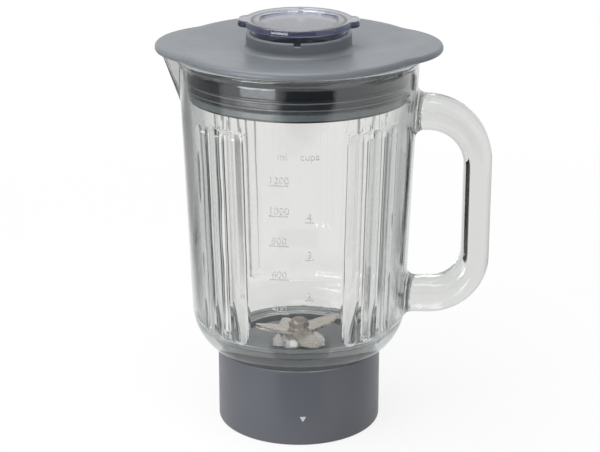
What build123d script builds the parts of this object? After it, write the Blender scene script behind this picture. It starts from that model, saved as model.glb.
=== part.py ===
from build123d import *
import os
from math import cos, radians, sin, tan

os.makedirs("parts", exist_ok=True)

# Clearances, all sizes in millimetres
turn_gap = 0.3          # between pieces that turn or lift past each other
press_gap = 0.02        # between pieces pressed together
running_gap = 0.04      # spindle in its bushes and seal

# Blade base, the grey collar that the jar stands on
base_radius = 46.4
base_height = 45.2
base_wall = 2.6
base_edge = 1.5         # rounding of the lower edge
outlet_wall = 3.0       # collar's wall where it drops over the mixer's outlet
outlet_depth = 14.0
outlet_step = 1.3       # shoulder that stops on the outlet
web_thickness = 3.6     # web that carries the sealing ring
ring_height = 4.2       # sealing ring between the web and the glass
floor_drop = 1.2        # floor of the jar below the collar's rim
floor_thickness = 2.6
plug_wall = 2.5
plug_gap = 0.6          # floor plug inside the foot of the glass
floor_rib_count = 6
floor_rib_width = 2.0
floor_rib_height = 5.5
slot_count = 3          # locking slots in the outlet bore
slot_depth = 1.3
slot_angle = 9.0
slot_run = 24.0
slot_height = 4.0

# Goblet of pressed glass
goblet_height = 171.4   # rim above the shoulder's underside
shoulder_overhang = 1.4 # shoulder's lower edge beyond the collar
shoulder_height = 24.5
shoulder_reach = 12.9   # swell from the lower edge to the straight wall
shoulder_arc = 61.0     # degrees of the ellipse that the shoulder uses
body_taper = 2.235      # degrees that the straight wall leans out
glass_wall = 4.0
foot_gap = 1.8          # foot of the glass inside the collar's wall
foot_wall = 5.0
foot_depth = 16.2
bowl_low = 4.0          # inside of the bowl above the shoulder's underside, at the bore
bowl_high = 17.0        # and at the foot of the straight wall
bowl_round = 6.0
lip_height = 6.0
lip_flare = 2.3
lug_count = 3           # bayonet lugs on the foot
lug_rise = 2.0
lug_height = 3.6
lug_angle = 24.0
ledge_height = 3.0      # bayonet ledges in the collar
ledge_angle = 36.0

# Ribs pressed into the four corners of the goblet
rib_middle = 49.0       # degrees from the handle's line to the middle rib
rib_pitch = 11.0        # degrees from rib to rib
rib_width = 8.4
rib_proud = 2.0
rib_bottom = 17.0       # above the shoulder's underside
rib_top = 142.0

# Pouring spout
spout_overhang = 7.4    # nose of the spout beyond the lip
spout_drop = 30.0
spout_nose = 7.0
spout_width = 66.0
spout_depth = 20.0      # spout's plan, from the nose into the wall

# Handle, heights above the shoulder's underside
handle_reach = 107.2
handle_bar = 15.6
handle_width = 20.5
handle_round = 7.0
handle_top = 146.8
handle_top_bar = 19.2
handle_bottom = 20.0
handle_bottom_bar = 19.4
handle_top_bend = 37.0
handle_bottom_bend = 33.5
handle_top_eye = 20.5
handle_bottom_eye = 17.0
handle_blend = 5.0

# Lid
brim_overhang = 0.2     # brim beyond the lip of the glass
brim_thickness = 3.6
brim_lift = 0.5         # brim above the rim of the glass
lobe_cover = 2.9        # lobes beyond the nose of the spout
lobe_radius = 42.7
lobe_blend = 18.0
seat_inset = 0.5        # lid's seat inside the lip's crown
dish_depth = 3.3
neck_radius = 28.95
neck_height = 5.8       # above the brim
neck_wall = 2.2
neck_sweep = 3.0        # hollow rounding at the foot of the neck
deck_thickness = 2.6
tube_depth = 11.9       # filler tube below the rim of the glass
ledge_width = 2.4       # ledge in the tube that the cap stands on
ledge_thickness = 2.0
skirt_depth = 24.2
skirt_wall = 2.4
skirt_inset = 1.6       # room for the seal between skirt and glass
groove_depth = 0.8
groove_edge = 1.0

# Seal on the lid's skirt
seal_band = 11.2
seal_body = 0.9         # seal proud of the skirt
lip_thickness = 1.1
lip_rises = (6.2, 10.0) # lips above the seal's lower edge

# Filler cap
flange_radius = 30.0
flange_thickness = 3.6
flange_lift = 3.8       # flange above the neck
flange_edge = 1.2
wing_reach = 33.2
wing_width = 17.0
cap_wall = 2.0
recess_radius = 20.6
recess_depth = 1.4
recess_slope = 1.2
key_width = 3.2
key_depth = 2.0

# Blade unit
spindle_radius = 4.0
bush_radius = 6.5
bush_length = 7.0
housing_radius = 9.9
housing_length = 13.5   # below the floor of the jar
housing_gap = 0.1
flange_reach = 15.0
flange_height = 2.0
crown_radius = 10.0
crown_height = 2.0      # seal crown above the flange
gasket_thickness = 0.6
seal_radius = 7.6
seal_depth = 3.0
nut_across = 26.0
nut_height = 5.0
washer_radius = 8.2
washer_thickness = 0.7
collar_radius = 6.6
collar_height = 1.1
tail_radius = 3.0       # flatted part that carries the blades
tail_flats = 4.8
thread_radius = 2.6
blade_thickness = 1.6
blade_reach = 27.0
blade_width = 12.5
blade_tip = 3.0
blade_bevel = 1.0
hub_margin = 0.4        # flat of the blade beyond the spindle's collar
upper_bend = 15.0       # degrees up
lower_bend = 8.0        # degrees down
upper_azimuth = 24.0
lower_azimuth = -64.0
lock_radius = 5.0
lock_gap_angle = 10.0
cap_nut_across = 10.0
cap_nut_hex = 2.4
cap_nut_height = 4.6
cap_nut_dome = 2.0
clip_radius = 6.0
clip_groove = 0.7
clip_thickness = 0.8
clip_opening = 60.0
clip_land = 0.8         # spindle left below the clip
stem_radius = 3.3       # screwed into the coupling
coupling_radius = 13.5
coupling_boss = 9.0
coupling_rim = 7.0
coupling_clear = 1.0    # coupling above the outlet's stop
coupling_web = 0.7
socket_across = 9.5
socket_depth = 7.5


def turned(points, start=0.0, arc=360.0):
    """A solid turned about Z from (radius, height) points."""
    face = Plane.XZ * make_face(Polyline(*points, close=True))
    return Rot(0, 0, start) * revolve(face, Axis.Z, arc)


def ring(inner, outer, bottom, top, start=0.0, arc=360.0):
    """A plain ring about Z, or a sector of one."""
    corners = [(inner, bottom), (outer, bottom), (outer, top), (inner, top)]
    return turned(corners, start, arc)


def edges_at(shape, height, radius, slack=0.05):
    """Circular edges about Z at one height and radius."""
    found = []
    for edge in shape.edges().filter_by(GeomType.CIRCLE):
        middle = edge.arc_center
        central = abs(middle.X) < slack and abs(middle.Y) < slack
        if central and abs(middle.Z - height) < slack and abs(edge.radius - radius) < slack:
            found.append(edge)
    return found


# Heights and radii shared by several pieces
base_inner = base_radius - base_wall
floor_top = base_height - floor_drop
floor_bottom = floor_top - floor_thickness
outlet_radius = base_radius - outlet_wall
foot_radius = base_inner - foot_gap
foot_bore = foot_radius - foot_wall
plug_radius = foot_bore - plug_gap
shoulder_z = base_height + turn_gap
foot_bottom = shoulder_z - foot_depth
web_top = foot_bottom - ring_height
web_bottom = web_top - web_thickness
lug_bottom = foot_bottom + lug_rise
lug_top = lug_bottom + lug_height
body_z = shoulder_z + shoulder_height
rim_z = shoulder_z + goblet_height
shoulder_edge = base_radius + shoulder_overhang
body_radius = shoulder_edge + shoulder_reach


def outside(height):
    """Radius of the goblet's straight outer wall."""
    return body_radius + (height - body_z) * tan(radians(body_taper))


def inside(height):
    """Radius of the goblet's straight inner wall."""
    return outside(height) - glass_wall


# Goblet: first the outside as a solid blank, with shoulder, straight wall and flared lip
shoulder_rise = shoulder_height / sin(radians(shoulder_arc))
shoulder_run = shoulder_reach / (1 - cos(radians(shoulder_arc)))
shoulder = EllipticalCenterArc(
    (body_radius - shoulder_run, body_z),
    shoulder_run,
    shoulder_rise,
    -shoulder_arc,
    arc_size=shoulder_arc,
)
lip_z = rim_z - lip_height
lip_radius = outside(lip_z) + lip_flare
crown_drop = 0.3 * lip_height
crown_inset = 1.5
lip_sweep = Spline(
    (outside(lip_z), lip_z),
    (lip_radius, rim_z - crown_drop),
    tangents=((tan(radians(body_taper)), 1), (0.35, 1)),
)
lip_crown = Spline(
    (lip_radius, rim_z - crown_drop),
    (lip_radius - crown_inset, rim_z),
    tangents=((0.35, 1), (-1, 0)),
)
outline = [
    Polyline((0, foot_bottom), (foot_radius, foot_bottom), (foot_radius, shoulder_z), shoulder @ 0),
    shoulder,
    Line(shoulder @ 1, lip_sweep @ 0),
    lip_sweep,
    lip_crown,
    Polyline(lip_crown @ 1, (0, rim_z), (0, foot_bottom)),
]
blank = Rot(0, 0, 90) * revolve(Plane.XZ * make_face(outline), Axis.Z)
blank = fillet(edges_at(blank, shoulder_z, shoulder_edge), 1.2)


def beak(reach, nose, width, height):
    """Plan of the spout at one height, a round nose on a wide root."""
    tip = Pos(nose - reach, 0) * Circle(nose)
    root = Pos(spout_depth - reach, 0) * Rectangle(0.02, width)
    return Pos(0, 0, height) * make_hull(tip.edges() + root.edges())


# The spout grows out of the wall and is hollowed later
spout_reach = lip_radius + spout_overhang
spout_z = rim_z - spout_drop
spout_low = beak(outside(spout_z) + 0.2, spout_nose - 1, spout_width - 12, spout_z)
spout_high = beak(spout_reach, spout_nose, spout_width, rim_z - 0.8)
blank += loft([spout_low, spout_high])

# The handle is a D with a thick top and bottom bar, rounded all along
root_x = inside(body_z) - 1
bar_x = handle_reach - handle_bar
back = FilletPolyline(
    (root_x, shoulder_z + handle_top),
    (handle_reach, shoulder_z + handle_top),
    (handle_reach, shoulder_z + handle_bottom),
    (root_x, shoulder_z + handle_bottom),
    radius=(handle_top_bend, handle_bottom_bend),
)
eye = FilletPolyline(
    (root_x, shoulder_z + handle_top - handle_top_bar),
    (bar_x, shoulder_z + handle_top - handle_top_bar),
    (bar_x, shoulder_z + handle_bottom + handle_bottom_bar),
    (root_x, shoulder_z + handle_bottom + handle_bottom_bar),
    radius=(handle_top_eye, handle_bottom_eye),
)
profile = make_face([back, eye, Line(back @ 0, eye @ 0), Line(back @ 1, eye @ 1)])
handle = extrude(Plane.XZ * profile, handle_width / 2, both=True)
sides = handle.faces().filter_by(Axis.Y)
long_edges = [e for e in sides.edges() if e.center().X > root_x + 1]
blank += fillet(long_edges, handle_round)


def on_wall(edge):
    """True for a curved edge that lies on the outside of the goblet at the handle."""
    if edge.geom_type == GeomType.LINE or edge.center().X < 0:
        return False
    if abs(edge.center().Y) > handle_width / 2:
        return False
    points = [edge @ (n / 4) for n in range(5)]
    if min(p.Z for p in points) < body_z - shoulder_height / 2:
        return False
    return all(abs((p.X**2 + p.Y**2) ** 0.5 - outside(p.Z)) < 0.6 for p in points)


blank = fillet([e for e in blank.edges() if on_wall(e)], handle_blend)

# Twelve ribs, three to a corner, are capsules sunk into the wall
rib_round = (rib_width**2 / 4 + rib_proud**2) / (2 * rib_proud)
rib_low = shoulder_z + rib_bottom
rib_length = (rib_top - rib_bottom) / cos(radians(body_taper))
rib_end = rib_length - rib_round
bead = [
    Line((0, 0), (0, rib_length)),
    RadiusArc((0, rib_length), (rib_round, rib_end), rib_round),
    Line((rib_round, rib_end), (rib_round, rib_round)),
    RadiusArc((rib_round, rib_round), (0, 0), rib_round),
]
rib = revolve(Plane.XZ * make_face(bead), Axis.Z)
rib = Pos(outside(rib_low) - rib_round + rib_proud, 0, rib_low) * Rot(0, body_taper, 0) * rib
for middle in (rib_middle, 180 - rib_middle, 180 + rib_middle, -rib_middle):
    for step in (-1, 0, 1):
        blank += Rot(0, 0, middle + step * rib_pitch) * rib

# Then the inside is taken out, with the channel of the spout
bowl_z = shoulder_z + bowl_high
hollow = FilletPolyline(
    (0, foot_bottom - 1),
    (foot_bore, foot_bottom - 1),
    (foot_bore, shoulder_z + bowl_low),
    (inside(bowl_z), bowl_z),
    (inside(rim_z), rim_z),
    (inside(rim_z), rim_z + 1),
    (0, rim_z + 1),
    radius=(0, 1.2, bowl_round, 0, 0),
)
hollow = make_face([hollow, Line(hollow @ 1, hollow @ 0)])
goblet = blank - Rot(0, 0, 90) * revolve(Plane.XZ * hollow, Axis.Z)
channel_low = beak(inside(spout_z) + 0.2, spout_nose - 4, spout_width - 16, spout_z + 2)
channel_high = beak(spout_reach - 0.6 * glass_wall, spout_nose - 3, spout_width - 4, rim_z + 0.2)
goblet -= loft([channel_low, channel_high])
for n in range(lug_count):
    middle = 90 + 360 / lug_count * n
    goblet += ring(
        foot_radius - 0.8,
        base_inner - turn_gap,
        lug_bottom,
        lug_top,
        middle - lug_angle / 2,
        lug_angle,
    )

# Lid: a turned core with neck, deck, seat and skirt under a brim with two lobes
brim_radius = lip_radius + brim_overhang
lobe_reach = spout_reach + lobe_cover
brim_bottom = rim_z + brim_lift
brim_top = brim_bottom + brim_thickness
dish_floor = brim_top - dish_depth
deck_bottom = dish_floor - deck_thickness
neck_top = brim_top + neck_height
neck_bore = neck_radius - neck_wall
tube_bottom = rim_z - tube_depth
cap_seat = tube_bottom + ledge_thickness
skirt_bottom = rim_z - skirt_depth
skirt_radius = inside(skirt_bottom) - skirt_inset
groove_radius = skirt_radius - groove_depth
seal_bottom = skirt_bottom + groove_edge
seal_top = seal_bottom + seal_band
seat_radius = lip_radius - crown_inset - seat_inset
dish_radius = seat_radius - 2
core = turned(
    [
        (neck_bore - ledge_width, tube_bottom),
        (neck_radius, tube_bottom),
        (neck_radius, deck_bottom),
        (skirt_radius - skirt_wall, deck_bottom),
        (skirt_radius - skirt_wall, skirt_bottom),
        (skirt_radius, skirt_bottom),
        (skirt_radius, seal_bottom),
        (groove_radius, seal_bottom),
        (groove_radius, seal_top),
        (skirt_radius, seal_top),
        (skirt_radius, rim_z),
        (seat_radius, rim_z),
        (seat_radius, brim_top),
        (dish_radius, brim_top),
        (neck_radius, dish_floor),
        (neck_radius, neck_top - 0.5),
        (neck_radius - 0.5, neck_top),
        (neck_bore, neck_top),
        (neck_bore, cap_seat),
        (neck_bore - ledge_width, cap_seat),
    ]
)
core = fillet(edges_at(core, dish_floor, neck_radius), neck_sweep)
plan = Circle(brim_radius)
for side in (-1, 1):
    plan += Pos(side * (lobe_reach - lobe_radius), 0) * Circle(lobe_radius)
plan = fillet(plan.vertices(), lobe_blend)
brim = Pos(0, 0, brim_bottom) * extrude(plan, brim_thickness)
brim = fillet(brim.faces().sort_by(Axis.Z)[-1].edges(), 0.5 * brim_thickness)
brim = fillet(brim.faces().sort_by(Axis.Z)[0].edges(), 0.3 * brim_thickness)
brim -= ring(0, seat_radius - 1, brim_bottom - 1, brim_top + 1)
lid = core + brim
for side in (-1, 1):
    notch = Box(key_width + 2 * turn_gap, 2 * neck_wall + 1, 2 * key_depth)
    lid -= Pos(0, side * (neck_radius - neck_wall / 2), neck_top) * notch

# Lid seal: a rubber band in the skirt's groove with two lips towards the glass
band_radius = skirt_radius + seal_body
lip_points = []
for rise in lip_rises:
    lip_at = seal_bottom + rise
    reach = inside(lip_at - lip_thickness) - turn_gap
    lip_points += [
        (band_radius, lip_at - lip_thickness),
        (reach, lip_at - lip_thickness / 2),
        (reach, lip_at),
        (band_radius, lip_at + 0.2),
    ]
lid_seal = turned(
    [
        (groove_radius + press_gap, seal_bottom),
        (band_radius - 0.4, seal_bottom),
        (band_radius, seal_bottom + 0.6),
        (band_radius, seal_bottom + 3.4),
        (band_radius - 0.3, seal_bottom + 4.2),
        *lip_points,
        (band_radius, seal_top),
        (groove_radius + press_gap, seal_top),
    ]
)

# Filler cap: a clear cup with a winged flange, keyed into the neck
cap_radius = neck_bore - turn_gap
cap_bore = cap_radius - cap_wall
flange_bottom = neck_top + flange_lift
cap_top = flange_bottom + flange_thickness
plate_top = cap_top - recess_depth
wings = Circle(flange_radius) + RectangleRounded(2 * wing_reach, wing_width, 0.3 * wing_width)
wings = fillet(wings.vertices().filter_by(lambda v: abs(v.Y) > 0.4 * wing_width), 3)
flange = Pos(0, 0, flange_bottom) * extrude(wings, flange_thickness)
flange = fillet(flange.faces().sort_by(Axis.Z)[-1].edges(), flange_edge)
flange = fillet(flange.faces().sort_by(Axis.Z)[0].edges(), flange_edge)
filler_cap = flange + ring(0, cap_radius, cap_seat, flange_bottom + 1)
filler_cap -= turned(
    [
        (0, plate_top),
        (recess_radius, plate_top),
        (recess_radius + recess_slope, cap_top + 0.01),
        (0, cap_top + 0.01),
    ]
)
filler_cap -= ring(0, cap_bore, cap_seat - 1, plate_top - cap_wall)
for side in (-1, 1):
    key_reach = neck_radius - turn_gap - cap_radius + 0.5
    key_rise = flange_bottom + 0.5 - neck_top + key_depth - turn_gap
    key = Box(key_width, key_reach, key_rise)
    key_y = neck_radius - turn_gap - key_reach / 2
    filler_cap += Pos(0, side * key_y, flange_bottom + 0.5 - key_rise / 2) * key

# Blade base: collar, web, raised floor and outlet bore in one moulding
hub_bore = housing_radius + housing_gap
blade_base = turned(
    [
        (outlet_radius, 0),
        (base_radius, 0),
        (base_radius, base_height),
        (base_inner, base_height),
        (base_inner, web_top),
        (plug_radius, web_top),
        (plug_radius, floor_top),
        (hub_bore, floor_top),
        (hub_bore, floor_bottom),
        (plug_radius - plug_wall, floor_bottom),
        (plug_radius - plug_wall, web_bottom),
        (outlet_radius - outlet_step, web_bottom),
        (outlet_radius - outlet_step, outlet_depth),
        (outlet_radius, outlet_depth),
    ]
)
blade_base = fillet(edges_at(blade_base, 0, base_radius), base_edge)
blade_base = fillet(edges_at(blade_base, base_height, base_radius), 0.8)
blade_base = fillet(edges_at(blade_base, floor_top, plug_radius), 1.5)
ledge_bottom = lug_top + turn_gap
for n in range(lug_count):
    middle = 90 + 360 / lug_count * n
    ledge_start = middle - ledge_angle / 2
    blade_base += ring(
        foot_radius + turn_gap,
        base_inner + 0.5,
        ledge_bottom,
        ledge_bottom + ledge_height,
        ledge_start,
        ledge_angle,
    )
    blade_base += ring(
        foot_radius + turn_gap,
        base_inner + 0.5,
        foot_bottom + turn_gap,
        ledge_bottom + 0.1,
        ledge_start,
        (ledge_angle - lug_angle) / 2 - 0.6,
    )
for n in range(slot_count):
    slot_start = 30 + 360 / slot_count * n
    entry = ring(outlet_radius - 1, outlet_radius + slot_depth, -1, 9, slot_start, slot_angle)
    run = ring(outlet_radius - 1, outlet_radius + slot_depth, 9 - slot_height, 9, slot_start, slot_run)
    blade_base -= entry + run
rib_start = nut_across / 2 / cos(radians(30)) + 1.5
rib_run = plug_radius - plug_wall + 0.5 - rib_start
for n in range(floor_rib_count):
    floor_rib = Box(rib_run, floor_rib_width, floor_rib_height + 0.2)
    floor_rib = Pos(rib_start + rib_run / 2, 0, floor_bottom - floor_rib_height / 2 + 0.1) * floor_rib
    blade_base += Rot(0, 0, 360 / floor_rib_count * n) * floor_rib

# Sealing ring between the web and the foot of the glass
base_seal = ring(plug_radius + press_gap, base_inner - turn_gap, web_top, foot_bottom)

# Bearing housing: a flanged steel hub clamped through the floor
flange_z = floor_top + gasket_thickness
crown_z = flange_z + flange_height
crown_top = crown_z + crown_height
housing_bottom = floor_top - housing_length
pocket_z = crown_top - seal_depth
bearing_housing = turned(
    [
        (bush_radius, housing_bottom),
        (housing_radius, housing_bottom),
        (housing_radius, flange_z),
        (flange_reach, flange_z),
        (flange_reach, crown_z - 0.8),
        (flange_reach - 1.2, crown_z),
        (crown_radius, crown_z),
        (crown_radius - 0.8, crown_top),
        (seal_radius, crown_top),
        (seal_radius, pocket_z),
        (bush_radius, pocket_z),
    ]
)
housing_gasket = ring(hub_bore, flange_reach - 0.5, floor_top, flange_z)
housing_nut = Pos(0, 0, floor_bottom - nut_height) * extrude(
    RegularPolygon(nut_across / 2, 6, major_radius=False) - Circle(housing_radius + press_gap),
    nut_height,
)
upper_bush = ring(
    spindle_radius + running_gap, bush_radius - press_gap, pocket_z - bush_length, pocket_z
)
lower_bush = ring(
    spindle_radius + running_gap,
    bush_radius - press_gap,
    housing_bottom,
    housing_bottom + bush_length,
)
shaft_seal = turned(
    [
        (spindle_radius + running_gap, pocket_z),
        (seal_radius - press_gap, pocket_z),
        (seal_radius - press_gap, crown_top - turn_gap),
        (spindle_radius + 1.6, crown_top - turn_gap),
        (spindle_radius + running_gap, crown_top - 2 * turn_gap),
    ]
)

# Spindle with its collar, blade seat, clip groove and screwed stem
collar_z = crown_top + washer_thickness
blade_z = collar_z + collar_height
upper_z = blade_z + blade_thickness
lock_z = upper_z + blade_thickness
nut_z = lock_z + washer_thickness
tail_top = nut_z + 0.6 * cap_nut_height
clip_top = housing_bottom - washer_thickness
clip_bottom = clip_top - clip_thickness
coupling_top = clip_bottom - clip_land
coupling_bottom = outlet_depth + coupling_clear
socket_top = coupling_bottom + socket_depth
stem_bottom = socket_top + coupling_web
drive_shaft = turned(
    [
        (0, stem_bottom),
        (stem_radius, stem_bottom),
        (stem_radius, coupling_top),
        (spindle_radius, coupling_top),
        (spindle_radius, clip_bottom),
        (spindle_radius - clip_groove, clip_bottom),
        (spindle_radius - clip_groove, clip_top),
        (spindle_radius, clip_top),
        (spindle_radius, collar_z),
        (collar_radius, collar_z),
        (collar_radius, blade_z),
        (0, blade_z),
    ]
)
flatted = Circle(tail_radius) & Rectangle(tail_flats, 2 * tail_radius)
drive_shaft += Pos(0, 0, blade_z) * Rot(0, 0, upper_azimuth) * extrude(flatted, 2 * blade_thickness)
drive_shaft += Pos(0, 0, lock_z) * extrude(Circle(thread_radius), tail_top - lock_z)
drive_shaft = chamfer(edges_at(drive_shaft, tail_top, thread_radius), 0.5)

# Blades: stamped steel strips with two bent, bevelled arms
hub_length = 2 * (collar_radius + hub_margin)
seat = Circle(tail_radius + press_gap) & Rectangle(tail_flats + 2 * press_gap, 3 * tail_radius)


def blade(height, azimuth, bend):
    """A two-armed blade, bent up for a positive angle."""
    half = blade_width / 2
    length = blade_reach - hub_length / 2
    lead = Spline((0, half), (0.45 * length, 0.86 * half), (length, blade_tip / 2 - half * 0.3))
    tip = (length - 1.0, -blade_tip / 2 - half * 0.3)
    trail = Polyline(lead @ 1, tip, (0.4 * length, -half), (0, -half), (0, half))
    arm = extrude(make_face([lead, trail]), blade_thickness)
    upper = arm.faces().sort_by(Axis.Z)[-1]
    edge = upper.edges().filter_by(lambda e: e.geom_type == GeomType.BSPLINE)
    arm = chamfer(edge, blade_bevel)
    shape = extrude(Rectangle(hub_length, blade_width), blade_thickness)
    fold = 0 if bend > 0 else blade_thickness
    for turn in (0, 180):
        bent = Pos(hub_length / 2, 0, fold) * Rot(0, -bend, 0) * Pos(0, 0, -fold) * arm
        shape += Rot(0, 0, turn) * bent
    shape -= Rot(0, 0, upper_azimuth - azimuth) * extrude(seat, 3 * blade_thickness, both=True)
    return Pos(0, 0, height) * Rot(0, 0, azimuth) * shape


lower_blade = blade(blade_z, lower_azimuth, -lower_bend)
upper_blade = blade(upper_z, upper_azimuth, upper_bend)
lock_washer = ring(
    thread_radius + press_gap, lock_radius, lock_z, nut_z, 0, 360 - lock_gap_angle
)
hexagon = RegularPolygon(cap_nut_across / 2, 6, major_radius=False)
blade_nut = Pos(0, 0, nut_z) * extrude(hexagon, cap_nut_hex)
dome = Pos(0, 0, nut_z) * extrude(Circle(0.47 * cap_nut_across), cap_nut_height)
dome = fillet(edges_at(dome, nut_z + cap_nut_height, 0.47 * cap_nut_across), cap_nut_dome)
blade_nut += dome
blade_nut -= ring(0, thread_radius + press_gap, nut_z - 1, tail_top + 0.3)

# Washers, clip and coupling on the spindle
upper_washer = ring(spindle_radius + press_gap, washer_radius, crown_top, collar_z)
lower_washer = ring(spindle_radius + press_gap, washer_radius, clip_top, housing_bottom)
circlip = ring(
    spindle_radius - clip_groove + press_gap,
    clip_radius,
    clip_bottom,
    clip_top,
    clip_opening / 2,
    360 - clip_opening,
)
drive_coupling = turned(
    [
        (0, coupling_bottom),
        (coupling_radius, coupling_bottom),
        (coupling_radius, coupling_bottom + coupling_rim),
        (coupling_boss, coupling_bottom + coupling_rim + 2.5),
        (coupling_boss, coupling_top),
        (0, coupling_top),
    ]
)
star = Rectangle(socket_across, socket_across) + Rot(0, 0, 45) * Rectangle(socket_across, socket_across)
drive_coupling -= Pos(0, 0, coupling_bottom) * extrude(star, socket_depth)
drive_coupling -= ring(0, stem_radius + press_gap, stem_bottom, coupling_top + 1)

pieces = {
    "goblet": goblet,
    "lid": lid,
    "lid_seal": lid_seal,
    "filler_cap": filler_cap,
    "blade_base": blade_base,
    "base_seal": base_seal,
    "bearing_housing": bearing_housing,
    "housing_gasket": housing_gasket,
    "housing_nut": housing_nut,
    "upper_bush": upper_bush,
    "lower_bush": lower_bush,
    "shaft_seal": shaft_seal,
    "upper_washer": upper_washer,
    "lower_washer": lower_washer,
    "drive_shaft": drive_shaft,
    "lower_blade": lower_blade,
    "upper_blade": upper_blade,
    "lock_washer": lock_washer,
    "blade_nut": blade_nut,
    "circlip": circlip,
    "drive_coupling": drive_coupling,
}
for name, piece in pieces.items():
    export_step(piece, f"parts/{name}.step")
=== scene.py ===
import math
import bpy
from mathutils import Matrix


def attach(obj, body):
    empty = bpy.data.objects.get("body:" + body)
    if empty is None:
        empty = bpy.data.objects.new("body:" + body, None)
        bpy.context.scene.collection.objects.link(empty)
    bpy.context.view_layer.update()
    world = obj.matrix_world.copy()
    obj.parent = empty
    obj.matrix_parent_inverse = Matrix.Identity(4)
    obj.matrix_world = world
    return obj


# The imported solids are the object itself: every piece below is one of them,
# or a thin mark that sits on one of them.
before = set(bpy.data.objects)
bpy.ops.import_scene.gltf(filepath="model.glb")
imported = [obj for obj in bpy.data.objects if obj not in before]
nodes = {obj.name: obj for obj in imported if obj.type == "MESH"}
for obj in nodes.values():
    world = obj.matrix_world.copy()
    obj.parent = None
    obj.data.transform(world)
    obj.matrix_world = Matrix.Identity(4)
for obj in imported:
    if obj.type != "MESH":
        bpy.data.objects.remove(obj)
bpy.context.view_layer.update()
bpy.ops.object.select_all(action="DESELECT")


# Drive coupling, a black moulded dog that the mixer turns from below.
# Glass-filled nylon, screwed on to the foot of the spindle.
def new_finish(name):
    """A material with its node tree, shader and texture coordinates ready."""
    material = bpy.data.materials.new(name)
    material.use_nodes = True
    tree = material.node_tree
    shader = tree.nodes["Principled BSDF"]
    place = tree.nodes.new("ShaderNodeTexCoord")
    return material, tree, shader, place


def grain(tree, place, scale, detail=3.0):
    """Noise on Object coordinates, in cells per metre."""
    noise = tree.nodes.new("ShaderNodeTexNoise")
    noise.inputs["Scale"].default_value = scale
    noise.inputs["Detail"].default_value = detail
    tree.links.new(place.outputs["Object"], noise.inputs["Vector"])
    return noise.outputs["Fac"]


def between(tree, value, low, high, start=0.3, stop=0.7):
    """Goes from low to high as a value goes from start to stop, and no further.

    Left alone, start and stop take in most of what a noise gives.
    """
    ramp = tree.nodes.new("ShaderNodeMapRange")
    ramp.inputs["From Min"].default_value = start
    ramp.inputs["From Max"].default_value = stop
    ramp.inputs["To Min"].default_value = low
    ramp.inputs["To Max"].default_value = high
    tree.links.new(value, ramp.inputs["Value"])
    return ramp.outputs["Result"]


def two_tone(tree, value, dark, light, start=0.35, stop=0.65):
    """Colour that drifts between two tones."""
    ramp = tree.nodes.new("ShaderNodeValToRGB")
    for stage, position, tone in ((0, start, dark), (1, stop, light)):
        ramp.color_ramp.elements[stage].position = position
        ramp.color_ramp.elements[stage].color = (*tone, 1)
    tree.links.new(value, ramp.inputs["Fac"])
    return ramp.outputs["Color"]


def raise_grain(tree, shader, value, depth, strength):
    """Bump of a given depth in metres."""
    bump = tree.nodes.new("ShaderNodeBump")
    bump.inputs["Strength"].default_value = strength
    bump.inputs["Distance"].default_value = depth
    tree.links.new(value, bump.inputs["Height"])
    tree.links.new(bump.outputs["Normal"], shader.inputs["Normal"])


spark_cells = 2600      # texture that spark erosion leaves, in cells per metre
spark_depth = 0.00006
spark_strength = 0.35
drift_cells = 14        # slow drift of a moulding's colour
sheen_cells = 55        # and of its gloss


def moulded(name, dark, light, gloss_low, gloss_high):
    """Satin moulded plastic or rubber with a fine spark-eroded texture."""
    material, tree, shader, place = new_finish(name)
    tone = two_tone(tree, grain(tree, place, drift_cells), dark, light)
    tree.links.new(tone, shader.inputs["Base Color"])
    sheen = between(tree, grain(tree, place, sheen_cells), gloss_low, gloss_high)
    tree.links.new(sheen, shader.inputs["Roughness"])
    spark = grain(tree, place, spark_cells, 2)
    raise_grain(tree, shader, spark, spark_depth, spark_strength)
    return material


def dress(material, *names):
    """Gives CAD nodes a finish."""
    for name in names:
        nodes[name].data.materials.clear()
        nodes[name].data.materials.append(material)


coupling_black = moulded(
    "coupling_black", (0.010, 0.010, 0.011), (0.017, 0.017, 0.018), 0.42, 0.55
)
dress(coupling_black, "drive_coupling")


# Spindle, washers, clip, housing and its nut, turned from stainless bar.
# The lathe leaves fine rings round the axis.
def turned_metal(name, colour, rough_low, rough_high):
    """Machined metal with rings round the axis of the jar."""
    material, tree, shader, place = new_finish(name)
    rings = tree.nodes.new("ShaderNodeTexWave")
    rings.wave_type = "RINGS"
    rings.rings_direction = "Z"
    rings.inputs["Scale"].default_value = 900
    rings.inputs["Distortion"].default_value = 1.5
    tree.links.new(place.outputs["Object"], rings.inputs["Vector"])
    dark = tuple(0.9 * c for c in colour)
    tone = two_tone(tree, grain(tree, place, 120), dark, colour)
    tree.links.new(tone, shader.inputs["Base Color"])
    sheen = between(tree, grain(tree, place, 300), rough_low, rough_high)
    tree.links.new(sheen, shader.inputs["Roughness"])
    raise_grain(tree, shader, rings.outputs["Fac"], 0.00003, 0.25)
    shader.inputs["Metallic"].default_value = 1.0
    return material


turned_steel = turned_metal("turned_steel", (0.56, 0.55, 0.54), 0.24, 0.34)
dress(turned_steel, "drive_shaft", "upper_washer", "lower_washer", "circlip")
dress(turned_steel, "bearing_housing", "housing_nut", "lock_washer")

# Bushes that the spindle turns in, sintered from bronze powder.
# They are pressed into the housing and soaked in oil.
bush_bronze = turned_metal("bush_bronze", (0.42, 0.26, 0.11), 0.38, 0.5)
dress(bush_bronze, "upper_bush", "lower_bush")

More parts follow.
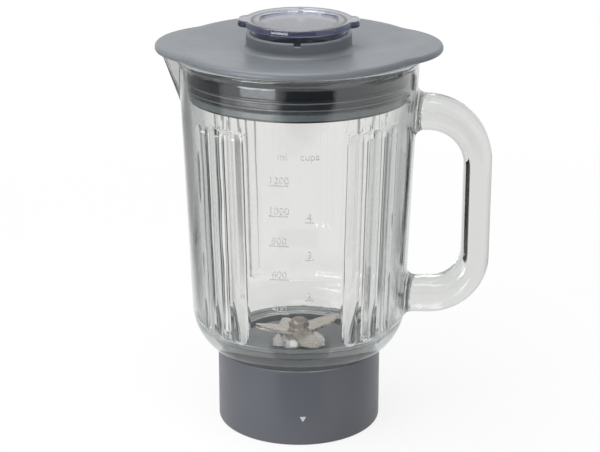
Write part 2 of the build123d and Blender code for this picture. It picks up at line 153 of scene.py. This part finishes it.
# Blades, two stamped strips of stainless steel crossed on the spindle.
# Their arms are ground on the leading edge and brushed along the strip.
blade_steel, tree, shader, place = new_finish("blade_steel")
stretch = tree.nodes.new("ShaderNodeMapping")
stretch.inputs["Rotation"].default_value = (0, 0, math.radians(-24))
stretch.inputs["Scale"].default_value = (60, 1500, 300)
tree.links.new(place.outputs["Object"], stretch.inputs["Vector"])
brushing = tree.nodes.new("ShaderNodeTexNoise")
brushing.inputs["Scale"].default_value = 1.0
tree.links.new(stretch.outputs["Vector"], brushing.inputs["Vector"])
strokes = brushing.outputs["Fac"]
tone = two_tone(tree, strokes, (0.40, 0.375, 0.335), (0.56, 0.53, 0.48))
tree.links.new(tone, shader.inputs["Base Color"])
tree.links.new(between(tree, strokes, 0.2, 0.36), shader.inputs["Roughness"])
raise_grain(tree, shader, strokes, 0.00004, 0.3)
shader.inputs["Metallic"].default_value = 1.0
dress(blade_steel, "lower_blade", "upper_blade")

# Domed nut that holds the blades, stainless like them.
# It is screwed on to the end of the spindle and dulled by washing.
nut_steel = turned_metal("nut_steel", (0.33, 0.29, 0.25), 0.42, 0.55)
dress(nut_steel, "blade_nut")


# Base collar with the floor of the jar, one satin grey moulding.
# It locks on to the glass by a bayonet; its floor is painted paler, painted light for
# the dim inside of the collar.
def radius_of(tree, place):
    """Distance from the axis of the jar, in millimetres."""
    flat = tree.nodes.new("ShaderNodeVectorMath")
    flat.operation = "MULTIPLY"
    flat.inputs[1].default_value = (1000, 1000, 0)
    tree.links.new(place.outputs["Object"], flat.inputs[0])
    length = tree.nodes.new("ShaderNodeVectorMath")
    length.operation = "LENGTH"
    tree.links.new(flat.outputs["Vector"], length.inputs[0])
    return length.outputs["Value"]


def blend_colours(tree, share, first, second):
    """Mixes two colours, each a socket or three numbers."""
    mix = tree.nodes.new("ShaderNodeMix")
    mix.data_type = "RGBA"
    tree.links.new(share, mix.inputs["Factor"])
    for name, colour in (("A", first), ("B", second)):
        socket = [n for n in mix.inputs if n.name == name and n.type == "RGBA"][0]
        if isinstance(colour, tuple):
            socket.default_value = (*colour, 1)
        else:
            tree.links.new(colour, socket)
    return [n for n in mix.outputs if n.type == "RGBA"][0]


base_grey, tree, shader, place = new_finish("base_grey")
wall_tone = two_tone(
    tree, grain(tree, place, drift_cells), (0.081, 0.086, 0.103), (0.089, 0.095, 0.112)
)
# Paler floor inside the collar: painted light where little light reaches.
collar_floor_painted_light = two_tone(
    tree, grain(tree, place, 70), (0.170, 0.178, 0.196), (0.215, 0.224, 0.244)
)
is_floor = between(tree, radius_of(tree, place), 1.0, 0.0, 41.0, 42.0)
base_tone = blend_colours(tree, is_floor, wall_tone, collar_floor_painted_light)
tree.links.new(base_tone, shader.inputs["Base Color"])
base_sheen = between(tree, grain(tree, place, sheen_cells), 0.36, 0.46)
tree.links.new(base_sheen, shader.inputs["Roughness"])
spark = grain(tree, place, spark_cells, 2)
raise_grain(tree, shader, spark, spark_depth, spark_strength)
dress(base_grey, "blade_base")

# Seals of rubber: the ring under the glass, grey rubber painted paler as painted light
# for the dim inside of the collar, and the darker gasket and lip seal of the hub, all
# moulded and held by the parts round them.
# The ring's pale grey is partly its rubber and partly painted light.
ring_rubber = moulded(
    "ring_rubber", (0.165, 0.175, 0.190), (0.195, 0.206, 0.222), 0.42, 0.58
)
dress(ring_rubber, "base_seal")
hub_rubber = moulded(
    "hub_rubber", (0.045, 0.049, 0.054), (0.056, 0.061, 0.066), 0.42, 0.58
)
dress(hub_rubber, "housing_gasket", "shaft_seal")


# Lid seal, a rubber band with two lips, stretched into the groove of the skirt.
# Its foot and the outer tip of its lips are a paler grey.
def calc(tree, operation, first, second=None, third=None):
    """A Math node on sockets or plain numbers."""
    step = tree.nodes.new("ShaderNodeMath")
    step.operation = operation
    for slot, value in enumerate((first, second, third)):
        if value is None:
            continue
        if isinstance(value, (int, float)):
            step.inputs[slot].default_value = value
        else:
            tree.links.new(value, step.inputs[slot])
    return step.outputs[0]


def height_of(tree, place):
    """Height above the table, in millimetres."""
    split = tree.nodes.new("ShaderNodeSeparateXYZ")
    tree.links.new(place.outputs["Object"], split.inputs["Vector"])
    return calc(tree, "MULTIPLY", split.outputs["Z"], 1000.0)


lip_rubber, tree, shader, place = new_finish("lip_rubber")
lip_tone = two_tone(
    tree, grain(tree, place, 60), (0.020, 0.022, 0.027), (0.028, 0.031, 0.037)
)
foot_tone = two_tone(
    tree, grain(tree, place, 90), (0.128, 0.145, 0.156), (0.160, 0.178, 0.189)
)
is_foot = between(tree, height_of(tree, place), 1.0, 0.0, 196.8, 197.6)
is_tip = between(tree, radius_of(tree, place), 0.0, 1.0, 61.0, 61.4)
seal_tone = blend_colours(tree, is_tip, lip_tone, (0.150, 0.162, 0.175))
seal_tone = blend_colours(tree, is_foot, seal_tone, foot_tone)
tree.links.new(seal_tone, shader.inputs["Base Color"])
seal_sheen = between(tree, grain(tree, place, 70), 0.16, 0.24)
tree.links.new(seal_sheen, shader.inputs["Roughness"])
raise_grain(tree, shader, grain(tree, place, 1800, 2), 0.00005, 0.25)
dress(lip_rubber, "lid_seal")


# Goblet of pressed soda glass, clear with a faint green tint in its thick parts.
# The handle is pressed with it, and the glass is a little uneven at its roots.
def rib_feet(tree, place):
    """Height in millimetres of the hollow rounding at both feet of each rib."""
    rib_pitch = 11.0        # degrees from rib to rib
    first_edge = 33.0       # degrees from the handle's line to the first of three
    group_span = 3 * rib_pitch
    arc = 1.1               # millimetres along the wall to a degree
    foot_place = 4.2        # millimetres from the middle of a rib to its foot
    foot_reach = 1.8
    foot_height = 0.36
    split = tree.nodes.new("ShaderNodeSeparateXYZ")
    tree.links.new(place.outputs["Object"], split.inputs["Vector"])
    across = calc(tree, "ABSOLUTE", split.outputs["X"])
    turn = calc(tree, "ARCTAN2", calc(tree, "ABSOLUTE", split.outputs["Y"]), across)
    turn = calc(tree, "MULTIPLY_ADD", turn, math.degrees(1), -first_edge)
    sway = grain(tree, place, 30, 1)
    turn = calc(tree, "ADD", turn, sway)
    past_first = calc(tree, "GREATER_THAN", turn, 0.0)
    before_last = calc(tree, "LESS_THAN", turn, group_span)
    group = calc(tree, "MULTIPLY", past_first, before_last)
    aside = calc(tree, "SUBTRACT", calc(tree, "MODULO", turn, rib_pitch), rib_pitch / 2)
    aside = calc(tree, "MULTIPLY", calc(tree, "ABSOLUTE", aside), arc)
    away = calc(tree, "ABSOLUTE", calc(tree, "SUBTRACT", aside, foot_place))
    near = calc(tree, "SUBTRACT", 1.0, calc(tree, "DIVIDE", away, foot_reach))
    near = calc(tree, "MAXIMUM", near, 0.0)
    foot = calc(tree, "MULTIPLY", calc(tree, "MULTIPLY", near, near), foot_height)
    height = height_of(tree, place)
    low = between(tree, height, 0.0, 1.0, 64.0, 70.0)
    high = between(tree, height, 1.0, 0.0, 180.0, 186.0)
    along = calc(tree, "MULTIPLY", calc(tree, "MULTIPLY", low, high), group)
    return calc(tree, "MULTIPLY", foot, along)


def near_point(tree, place, point, inner, outer):
    """One at a point, falling to nought between two distances in metres."""
    gap = tree.nodes.new("ShaderNodeVectorMath")
    gap.operation = "DISTANCE"
    tree.links.new(place.outputs["Object"], gap.inputs[0])
    gap.inputs[1].default_value = point
    return between(tree, gap.outputs["Value"], 1.0, 0.0, inner, outer)


def tint_depth(tree, colour, density):
    """Tint that deepens with the thickness of a clear piece."""
    depth = tree.nodes.new("ShaderNodeVolumeAbsorption")
    depth.inputs["Color"].default_value = (*colour, 1)
    depth.inputs["Density"].default_value = density
    output = tree.nodes["Material Output"]
    tree.links.new(depth.outputs["Volume"], output.inputs["Volume"])


def blend_surfaces(tree, share, first, second):
    """Shows one shader and, by a share, another in its place."""
    blend = tree.nodes.new("ShaderNodeMixShader")
    tree.links.new(share, blend.inputs["Fac"])
    tree.links.new(first, blend.inputs[1])
    tree.links.new(second, blend.inputs[2])
    output = tree.nodes["Material Output"]
    tree.links.new(blend.outputs["Shader"], output.inputs["Surface"])


clear_glass, tree, shader, place = new_finish("clear_glass")
shader.inputs["Transmission Weight"].default_value = 1.0
shader.inputs["Roughness"].default_value = 0.0
shader.inputs["IOR"].default_value = 1.5
# Base colour darkens at grazing angles: painted shade for the dark edges of the glass.
rim_view = tree.nodes.new("ShaderNodeLayerWeight")
rim_view.inputs["Blend"].default_value = 0.5
painted_dark_edges = two_tone(
    tree, rim_view.outputs["Facing"], (0.92, 0.92, 0.91), (0.36, 0.38, 0.40), 0.35, 0.85
)
tree.links.new(painted_dark_edges, shader.inputs["Base Color"])
upper_root = near_point(tree, place, (0.066, 0, 0.183), 0.006, 0.016)
lower_root = near_point(tree, place, (0.064, 0, 0.075), 0.006, 0.016)
roots = calc(tree, "MAXIMUM", upper_root, lower_root)
knobs = calc(tree, "MULTIPLY", grain(tree, place, 190, 1), roots)
flow = calc(tree, "MULTIPLY", grain(tree, place, 38, 1), 0.05)
relief = calc(tree, "ADD", calc(tree, "ADD", knobs, flow), rib_feet(tree, place))
raise_grain(tree, shader, relief, 0.001, 1.0)
# Painted light stands in for light that has gone to and fro inside the glass and comes
# out again, most of all
# at its foot: a ray that would be given up there takes a weak painted glow instead.
seen = tree.nodes.new("ShaderNodeLightPath")
bounces = seen.outputs["Glossy Depth"]
trapped = calc(tree, "MULTIPLY", calc(tree, "GREATER_THAN", bounces, 3.5), 0.4)
in_foot = between(tree, height_of(tree, place), 1.0, 0.0, 58.0, 63.0)
piped = calc(tree, "MULTIPLY", calc(tree, "GREATER_THAN", bounces, 0.5), in_foot)
piped = calc(tree, "MULTIPLY", piped, 0.07)
painted_glow = calc(tree, "MAXIMUM", trapped, piped)
shader.inputs["Emission Color"].default_value = (0.93, 0.96, 1.0, 1)
tree.links.new(painted_glow, shader.inputs["Emission Strength"])
tint_depth(tree, (0.850, 0.857, 0.850), 92.0)
through = tree.nodes.new("ShaderNodeBsdfTransparent")
through.inputs["Color"].default_value = (0.90, 0.92, 0.92, 1)
lit_inside = calc(
    tree, "MAXIMUM", seen.outputs["Is Shadow Ray"], seen.outputs["Is Diffuse Ray"]
)
blend_surfaces(tree, lit_inside, shader.outputs["BSDF"], through.outputs["BSDF"])
dress(clear_glass, "goblet")

# Volume marks, raised from the front of the goblet by cuts in its mould.
# Glass like the wall, with a duller face: millilitres left, cups right.
mark_glass, tree, shader, place = new_finish("mark_glass")
mark_tone = two_tone(
    tree, grain(tree, place, 400), (0.67, 0.68, 0.68), (0.75, 0.76, 0.76)
)
tree.links.new(mark_tone, shader.inputs["Base Color"])
mark_sheen = between(tree, grain(tree, place, 900), 0.10, 0.22)
tree.links.new(mark_sheen, shader.inputs["Roughness"])
shader.inputs["Transmission Weight"].default_value = 0.76
shader.inputs["IOR"].default_value = 1.45
mark_rise = 0.00035
upright = (math.pi / 2, 0, 0)
before_wall = -0.075        # marks start here and are laid back on to the wall


def set_on_wall(piece, node, rise):
    """Lays a flat upright piece on a node's front wall and gives it thickness."""
    bpy.ops.object.select_all(action="DESELECT")
    piece.select_set(True)
    bpy.context.view_layer.objects.active = piece
    bpy.ops.object.transform_apply(location=True, rotation=True, scale=True)
    lay = piece.modifiers.new("lay", "SHRINKWRAP")
    lay.target = nodes[node]
    lay.wrap_method = "PROJECT"
    lay.use_project_y = True
    lay.offset = 0.00003
    bpy.ops.object.modifier_apply(modifier=lay.name)
    raised = piece.modifiers.new("raised", "SOLIDIFY")
    raised.thickness = rise
    raised.offset = 1.0
    bpy.ops.object.modifier_apply(modifier=raised.name)


def figure(words, x, z):
    """One figure of the scale, its foot at height z."""
    bpy.ops.object.text_add(location=(x, before_wall, z), rotation=upright)
    text = bpy.context.object
    text.data.body = words
    text.data.size = 0.0056
    text.data.align_x = "CENTER"
    text.data.resolution_u = 4
    bpy.ops.object.convert(target="MESH")
    set_on_wall(text, "goblet", mark_rise)
    return text


def bar(x, z, width):
    """The line under a figure."""
    bpy.ops.mesh.primitive_grid_add(
        x_subdivisions=12,
        y_subdivisions=1,
        size=1,
        location=(x, before_wall, z),
        rotation=upright,
    )
    line = bpy.context.object
    line.scale = (width, 0.0006, 1)
    set_on_wall(line, "goblet", mark_rise)
    return line


unit_height = 0.1735
bar_gap = 0.001             # from a bar up to the foot of its figure
ml_steps = (
    ("1200", 0.1592), ("1000", 0.142), ("800", 0.125), ("600", 0.1056), ("400", 0.0857)
)
cup_steps = (("4", 0.1386), ("3", 0.1172), ("2", 0.0937))
marks = [figure("ml", -0.0065, unit_height), figure("cups", 0.008, unit_height)]
for steps, x, width in ((ml_steps, -0.0084, 0.0104), (cup_steps, 0.0078, 0.0046)):
    for words, z in steps:
        marks += [figure(words, x, z + bar_gap), bar(x, z, width)]
bpy.ops.object.select_all(action="DESELECT")
for mark in marks:
    mark.select_set(True)
bpy.context.view_layer.objects.active = marks[0]
bpy.ops.object.join()
volume_marks = bpy.context.object
volume_marks.name = "volume_marks"
volume_marks.data.materials.clear()
volume_marks.data.materials.append(mark_glass)
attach(volume_marks, "jar")

# Locking mark, a small white triangle printed on the front of the collar.
# It meets a mark on the mixer when the jar is turned home.
bpy.ops.mesh.primitive_circle_add(
    vertices=3,
    radius=0.0021,
    fill_type="NGON",
    location=(0.0038, -0.06, 0.0168),
    rotation=(math.pi / 2, math.pi, 0),
)
lock_mark = bpy.context.object
lock_mark.name = "lock_mark"
bpy.ops.object.mode_set(mode="EDIT")
bpy.ops.mesh.select_all(action="SELECT")
bpy.ops.mesh.bevel(offset=0.0002, segments=2, affect="VERTICES")
bpy.ops.object.mode_set(mode="OBJECT")
set_on_wall(lock_mark, "blade_base", 0.00006)
print_white, tree, shader, place = new_finish("print_white")
print_tone = two_tone(
    tree, grain(tree, place, 1500), (0.46, 0.45, 0.46), (0.56, 0.55, 0.56)
)
tree.links.new(print_tone, shader.inputs["Base Color"])
print_sheen = between(tree, grain(tree, place, 900), 0.4, 0.55)
tree.links.new(print_sheen, shader.inputs["Roughness"])
raise_grain(tree, shader, grain(tree, place, spark_cells, 2), 0.00004, 0.3)
lock_mark.data.materials.append(print_white)
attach(lock_mark, "base")

# Lid, satin grey like the collar, moulded with a filler neck and two lobes.
# The skirt comes off a polished core, so it is smoother; it is painted darker, painted
# shade from the brim above it.
lid_grey, tree, shader, place = new_finish("lid_grey")
satin_tone = two_tone(
    tree, grain(tree, place, drift_cells), (0.137, 0.149, 0.163), (0.149, 0.161, 0.175)
)
is_skirt = between(tree, height_of(tree, place), 1.0, 0.0, 216.6, 217.3)
# The skirt's near-black colour is painted shade under the brim.
lid_tone_painted_shade = blend_colours(tree, is_skirt, satin_tone, (0.014, 0.016, 0.021))
tree.links.new(lid_tone_painted_shade, shader.inputs["Base Color"])
satin_sheen = between(tree, grain(tree, place, sheen_cells), 0.33, 0.42)
polish = calc(tree, "MULTIPLY_ADD", is_skirt, -0.78, 1.0)
lid_sheen = calc(tree, "MULTIPLY", satin_sheen, polish)
tree.links.new(lid_sheen, shader.inputs["Roughness"])
is_satin = calc(tree, "SUBTRACT", 1.0, is_skirt)
spark = calc(tree, "MULTIPLY", grain(tree, place, spark_cells, 2), is_satin)
raise_grain(tree, shader, spark, spark_depth, spark_strength)
shader.inputs["Specular Tint"].default_value = (0.86, 0.92, 1.0, 1)
dress(lid_grey, "lid")

# Filler cap, injection moulded in clear smoky plastic.
# It drops into the neck of the lid; a faint painted glow on rays inside it stands in for
# light gathered at its edges.
smoky_clear, tree, shader, place = new_finish("smoky_clear")
shader.inputs["Base Color"].default_value = (0.80, 0.81, 0.85, 1)
shader.inputs["Transmission Weight"].default_value = 1.0
shader.inputs["Roughness"].default_value = 0.06
shader.inputs["IOR"].default_value = 1.49
raise_grain(tree, shader, grain(tree, place, 60, 1), 0.0003, 0.08)
seen = tree.nodes.new("ShaderNodeLightPath")
inside = calc(tree, "GREATER_THAN", seen.outputs["Glossy Depth"], 0.5)
painted_edge_glow = calc(tree, "MULTIPLY", inside, 0.05)
shader.inputs["Emission Color"].default_value = (0.62, 0.64, 0.76, 1)
tree.links.new(painted_edge_glow, shader.inputs["Emission Strength"])
tint_depth(tree, (0.44, 0.47, 0.60), 80.0)
dress(smoky_clear, "filler_cap")

# Studio floor, a white sheet that runs out of sight behind the jar.
# It keeps the jar's soft shadow.
bpy.ops.mesh.primitive_plane_add(size=12, location=(0, 0, 0))
floor = bpy.context.object
floor.name = "studio_floor"
floor_white, tree, shader, place = new_finish("floor_white")
shader.inputs["Base Color"].default_value = (0.86, 0.86, 0.86, 1)
shader.inputs["Roughness"].default_value = 0.9
glow = tree.nodes.new("ShaderNodeEmission")
glow.inputs["Strength"].default_value = 1.0


def looked_at(tree):
    """One for a ray from the camera, also by way of glass or a reflection."""
    seen = tree.nodes.new("ShaderNodeLightPath")
    straight, mirrored = seen.outputs["Is Camera Ray"], seen.outputs["Is Glossy Ray"]
    clear = seen.outputs["Is Transmission Ray"]
    return calc(tree, "MAXIMUM", calc(tree, "MAXIMUM", straight, mirrored), clear)


share = between(tree, radius_of(tree, place), 0.84, 1.0, 200, 600)
share = calc(tree, "MULTIPLY", looked_at(tree), share)
blend_surfaces(tree, share, shader.outputs["BSDF"], glow.outputs["Emission"])
floor.data.materials.append(floor_white)

# Studio light: a soft white room, a wide softbox overhead, one low on the left
# that shows as a bright window on the glass, and a weak fill on the right.
world = bpy.data.worlds.new("white_room")
bpy.context.scene.world = world
world.use_nodes = True
tree = world.node_tree
room = tree.nodes["Background"]
room.inputs["Color"].default_value = (1, 1, 1, 1)
level = between(tree, looked_at(tree), 0.36, 1.0, 0.0, 1.0)
tree.links.new(level, room.inputs["Strength"])


def softbox(name, place, aim, width, height, watts):
    """An area lamp at a place, turned to face a point."""
    bpy.ops.object.light_add(type="AREA", location=place)
    lamp = bpy.context.object
    lamp.name = name
    lamp.data.shape = "RECTANGLE"
    lamp.data.size = width
    lamp.data.size_y = height
    lamp.data.energy = watts
    lamp.visible_camera = False
    away = [a - p for a, p in zip(aim, place)]
    dip = math.atan2(math.hypot(away[0], away[1]), -away[2])
    heading = math.atan2(away[1], away[0]) - math.pi / 2
    lamp.rotation_euler = (dip, 0, heading)


softbox("overhead", (-0.25, -0.15, 1.3), (0, 0, 0.1), 1.4, 1.2, 18)
softbox("left_window", (-0.289, -0.369, 0.135), (0, 0, 0.135), 0.30, 0.13, 0.95)
softbox("right_fill", (0.9, -0.7, 0.7), (0, 0, 0.12), 0.8, 0.8, 1.6)


# Dark cards on the table round the jar, as for any glassware, to draw its edges.
# Only a ray that the glass turns aside or reflects meets them.
def card_finish(name, grey, soft_sides, soft_ends, fewest=99, most=99):
    """Matt card with soft edges that is clear to a ray that comes straight.

    A reflected ray always meets it. A bent ray meets it after it has gone
    through so many faces of glass, from fewest to most: as given, none does.
    """
    material, tree, shader, place = new_finish(name)
    shader.inputs["Base Color"].default_value = (grey, grey, grey, 1)
    shader.inputs["Roughness"].default_value = 1.0
    shader.inputs["Specular IOR Level"].default_value = 0.0
    seen = tree.nodes.new("ShaderNodeLightPath")
    shown = calc(tree, "GREATER_THAN", seen.outputs["Glossy Depth"], 0.5)
    faces = seen.outputs["Transmission Depth"]
    enough = calc(tree, "GREATER_THAN", faces, fewest - 0.5)
    bent = calc(tree, "MULTIPLY", enough, calc(tree, "LESS_THAN", faces, most + 0.5))
    shown = calc(tree, "MAXIMUM", shown, bent)
    split = tree.nodes.new("ShaderNodeSeparateXYZ")
    tree.links.new(place.outputs["UV"], split.inputs["Vector"])
    for axis, soft in (("X", soft_sides), ("Y", soft_ends)):
        along = split.outputs[axis]
        inward = calc(tree, "MINIMUM", along, calc(tree, "SUBTRACT", 1.0, along))
        shown = calc(tree, "MULTIPLY", shown, between(tree, inward, 0.0, 1.0, 0.0, soft))
    clear = tree.nodes.new("ShaderNodeBsdfTransparent")
    blend_surfaces(tree, shown, clear.outputs["BSDF"], shader.outputs["BSDF"])
    return material


def table_card(name, finish, *corners):
    """A card that lies flat and shows in glass alone, by its four corners."""
    bpy.ops.mesh.primitive_plane_add(size=1, location=(0, 0, 0.001))
    card = bpy.context.object
    card.name = name
    for vertex, corner in zip(card.data.vertices, corners):
        vertex.co = (*corner, 0)
    card.data.materials.append(finish)
    card.visible_camera = False
    card.visible_diffuse = False
    card.visible_volume_scatter = False
    card.visible_shadow = False


card_black = card_finish("card_black", 0.04, 0.08, 0.08)
card_front = card_finish("card_front", 0.07, 0.10, 0.03)
card_back = card_finish("card_back", 0.26, 0.03, 0.08)
card_grey = card_finish("card_grey", 0.24, 0.08, 0.08)
card_ribs = card_finish("card_ribs", 0.40, 0.10, 0.10, fewest=4)
card_handle = card_finish("card_handle", 0.03, 0.08, 0.03, fewest=2, most=2)
table_card(
    "foot_card", card_black,
    (-0.035, -0.072), (0.041, -0.069), (-0.088, -0.180), (0.102, -0.172),
)
table_card(
    "front_card", card_front,
    (-0.217, -0.559), (0.367, -0.475), (-0.796, -2.051), (1.345, -1.741),
)
table_card(
    "left_card", card_black,
    (-0.56, -0.11), (-0.20, -0.11), (-0.56, 0.23), (-0.20, 0.23),
)
table_card(
    "rib_card", card_ribs,
    (-0.50, 0.06), (-0.12, 0.06), (-0.60, 0.60), (-0.27, 0.60),
)
table_card(
    "back_card", card_back,
    (-1.60, -0.40), (-0.57, -0.17), (-1.60, 2.00), (-0.33, 0.52),
)
table_card(
    "right_card", card_grey,
    (0.22, -0.11), (0.58, -0.11), (0.22, 0.23), (0.58, 0.23),
)
table_card(
    "handle_card", card_handle,
    (0.165, 0.185), (0.213, 0.158), (0.360, 0.668), (0.533, 0.567),
)

# Camera at the photograph's height and angle, with a long lens.
# It looks down on the jar from the front, a little from the right.
tilt = math.radians(19.42)
swing = math.radians(2.0)
reach = 1.045
aim_x, aim_z = 0.0006, 0.1146
out = reach * math.cos(tilt)
eye = (
    aim_x + out * math.sin(swing),
    -out * math.cos(swing),
    aim_z + reach * math.sin(tilt),
)
bpy.ops.object.camera_add(location=eye, rotation=(math.pi / 2 - tilt, 0, swing))
camera = bpy.context.object
camera.data.sensor_width = 36
camera.data.lens = 111
camera.data.clip_start = 0.01
bpy.context.scene.camera = camera
bpy.context.scene.view_settings.view_transform = "Standard"
